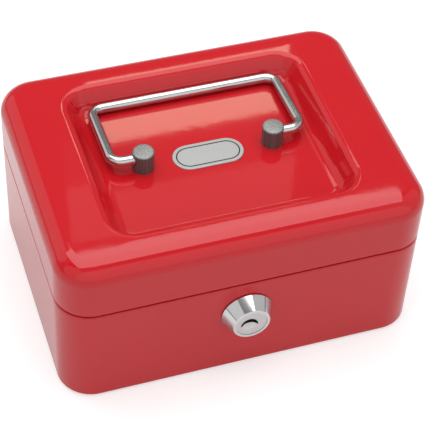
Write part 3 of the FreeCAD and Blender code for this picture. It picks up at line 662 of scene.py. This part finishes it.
# The floor's own light where the camera sees it, close to the object and far off, and where it is mirrored
FLOOR_SIZE = 8.0
FLOOR_LEVEL = -0.0002
FLOOR_COLOUR = (0.66, 0.66, 0.66, 1)
FLOOR_ROUGHNESS = 0.9
FLOOR_GLOW = 0.47
FLOOR_GLOW_FAR = 1.0
FLOOR_GLOW_MIRRORED = 0.25
FLOOR_NEAR = 0.35
FLOOR_FAR = 1.2

WHITE = (1, 1, 1)
OVERHEAD_PLACE = (-0.02, 0.265, 1.15)
OVERHEAD_SIZE = (1.24, 1.23)
OVERHEAD_RADIANCE = 2.58

# Each light behind the object: its name, left and right edge, low and high edge, radiance and colour
BACK_LIGHTS_Y = 0.62
BACK_LIGHTS = (
    ("back_strip", 0.100, 0.302, 0.606, 0.677, 4.3, (0.97, 1.0, 0.78)),
    ("back_card_low", 0.075, 0.322, 0.677, 0.745, 0.10, WHITE),
    ("back_card_high", 0.075, 0.322, 0.745, 0.830, 0.50, WHITE),
)

# Each part of the room: a direction, the nearness to it, as a cosine, where a change starts and ends, and
# the level outside and inside. The brightest part counts.
STUDIO = (
    (Vector((-0.63, -0.03, 0.77)), 0.975, 0.990, 0.28, 0.02),
    (Vector((0, -1, 0)), 0.48, 0.64, 0, 1.10),
    (Vector((-0.80, -0.42, 0.42)), 0.848, 0.885, 0, 0.80),
    (Vector((0.80, -0.25, 0.55)), 0.79, 0.86, 0, 0.65),
    (Vector((-0.60, 0.66, 0.45)), 0.88, 0.95, 0, 0.90),
)


def make_camera():
    """The photograph's view."""
    back = Vector(
        (
            math.sin(CAMERA_AZIMUTH) * math.cos(CAMERA_ELEVATION),
            -math.cos(CAMERA_AZIMUTH) * math.cos(CAMERA_ELEVATION),
            math.sin(CAMERA_ELEVATION),
        )
    )
    level = Vector((0, 0, 1)).cross(back).normalized()
    upright = back.cross(level)
    right = level * math.cos(CAMERA_ROLL) + upright * math.sin(CAMERA_ROLL)
    up = upright * math.cos(CAMERA_ROLL) - level * math.sin(CAMERA_ROLL)
    data = bpy.data.cameras.new("camera")
    data.lens = CAMERA_LENS
    data.sensor_width = CAMERA_SENSOR
    data.clip_start = CAMERA_CLIP
    camera = bpy.data.objects.new("camera", data)
    turn = Matrix((right, up, back)).transposed().to_4x4()
    camera.matrix_world = Matrix.Translation(CAMERA_TARGET + back * CAMERA_DISTANCE) @ turn
    bpy.context.scene.collection.objects.link(camera)
    bpy.context.scene.camera = camera


def make_floor():
    """A floor that looks white, keeps the object's shadow and is clear from below."""
    mesh = bpy.data.meshes.new("floor")
    half = FLOOR_SIZE / 2
    rim = [(x, y, FLOOR_LEVEL) for x, y in ((-half, -half), (half, -half), (half, half), (-half, half))]
    mesh.from_pydata(rim, [], [(0, 1, 2, 3)])
    floor = bpy.data.objects.new("floor", mesh)
    bpy.context.scene.collection.objects.link(floor)
    material, shader, add, link = new_material("floor")
    shader.inputs["Base Color"].default_value = FLOOR_COLOUR
    shader.inputs["Roughness"].default_value = FLOOR_ROUGHNESS
    shader.inputs["Specular IOR Level"].default_value = 0.0
    shader.inputs["Emission Color"].default_value = (*WHITE, 1)
    away = add("ShaderNodeVectorMath", operation="LENGTH")
    link(add("ShaderNodeTexCoord").outputs["Object"], away.inputs[0])
    seen = add(
        "ShaderNodeMapRange",
        From_Min=FLOOR_NEAR,
        From_Max=FLOOR_FAR,
        To_Min=FLOOR_GLOW,
        To_Max=FLOOR_GLOW_FAR,
    )
    link(away.outputs["Value"], seen.inputs["Value"])
    path = add("ShaderNodeLightPath")
    glow = add("ShaderNodeMath", operation="MULTIPLY")
    link(path.outputs["Is Camera Ray"], glow.inputs[0])
    link(seen.outputs["Result"], glow.inputs[1])
    for ray in ("Is Glossy Ray", "Is Transmission Ray"):
        total = add("ShaderNodeMath", operation="MULTIPLY_ADD")
        link(path.outputs[ray], total.inputs[0])
        total.inputs[1].default_value = FLOOR_GLOW_MIRRORED
        link(glow.outputs[0], total.inputs[2])
        glow = total
    link(glow.outputs[0], shader.inputs["Emission Strength"])
    from_below = add("ShaderNodeMixShader")
    link(add("ShaderNodeNewGeometry").outputs["Backfacing"], from_below.inputs[0])
    link(shader.outputs[0], from_below.inputs[1])
    link(add("ShaderNodeBsdfTransparent").outputs[0], from_below.inputs[2])
    output = next(node for node in material.node_tree.nodes if node.type == "OUTPUT_MATERIAL")
    link(from_below.outputs[0], output.inputs["Surface"])
    mesh.materials.append(material)


def make_world():
    """A dark studio with pale walls in some directions, and white where only the camera looks."""
    world = bpy.data.worlds.new("studio")
    bpy.context.scene.world = world
    world.use_nodes = True
    tree = world.node_tree
    add, link = node_adder(tree), tree.links.new
    background = next(node for node in tree.nodes if node.type == "BACKGROUND")
    background.inputs["Color"].default_value = (*WHITE, 1)
    direction = add("ShaderNodeTexCoord").outputs["Generated"]
    level = add("ShaderNodeLightPath").outputs["Is Camera Ray"]
    for towards, start, end, outside, inside in STUDIO:
        nearness = add("ShaderNodeVectorMath", operation="DOT_PRODUCT")
        link(direction, nearness.inputs[0])
        nearness.inputs[1].default_value = towards.normalized()
        wall = add(
            "ShaderNodeMapRange",
            interpolation_type="SMOOTHSTEP",
            From_Min=start,
            From_Max=end,
            To_Min=outside,
            To_Max=inside,
        )
        link(nearness.outputs["Value"], wall.inputs["Value"])
        brighter = add("ShaderNodeMath", operation="MAXIMUM")
        link(level, brighter.inputs[0])
        link(wall.outputs["Result"], brighter.inputs[1])
        level = brighter.outputs[0]
    link(level, background.inputs["Strength"])


def area_light(name, place, facing, size, radiance, tint):
    """A softbox of that size, brightness and colour that faces a direction."""
    data = bpy.data.lights.new(name, "AREA")
    data.shape = "RECTANGLE"
    data.size, data.size_y = size
    data.color = tint
    data.energy = radiance * math.pi * size[0] * size[1]
    light = bpy.data.objects.new(name, data)
    turn = Vector(facing).to_track_quat("-Z", "Y").to_matrix().to_4x4()
    light.matrix_world = Matrix.Translation(Vector(place)) @ turn
    bpy.context.scene.collection.objects.link(light)


def make_lights():
    """A large softbox overhead, and behind the object a strip and two dim cards for the recess to mirror."""
    area_light("overhead", OVERHEAD_PLACE, (0, 0, -1), OVERHEAD_SIZE, OVERHEAD_RADIANCE, WHITE)
    for name, left, right, low, high, radiance, tint in BACK_LIGHTS:
        place = ((left + right) / 2, BACK_LIGHTS_Y, (low + high) / 2)
        area_light(name, place, (0, -1, 0), (right - left, high - low), radiance, tint)


def main():
    """Dresses the CAD nodes, adds the finer pieces and sets the stage."""
    materials = make_materials()
    slots = {part["node"]: part["material_slot"] for part in frame["record"]["subparts"]}
    for name, node in frame["nodes"].items():
        paint(node, materials[slots[name]])
    pieces = [make_lid(), make_base(), make_handle(), make_post("left"), make_post("right"), make_lock_head()]
    keyway = make_keyway_shade()
    pieces += make_badge()
    for piece in pieces:
        paint(piece, materials[piece["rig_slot"]])
    # The keyway's crescent of painted shade gets its own near-black material.
    paint(keyway, black_plastic("keyway_shade_black", *KEYWAY_SHADE_BLACK))
    make_camera()
    make_floor()
    make_world()
    make_lights()
    bpy.context.scene.view_settings.view_transform = "Standard"


main()
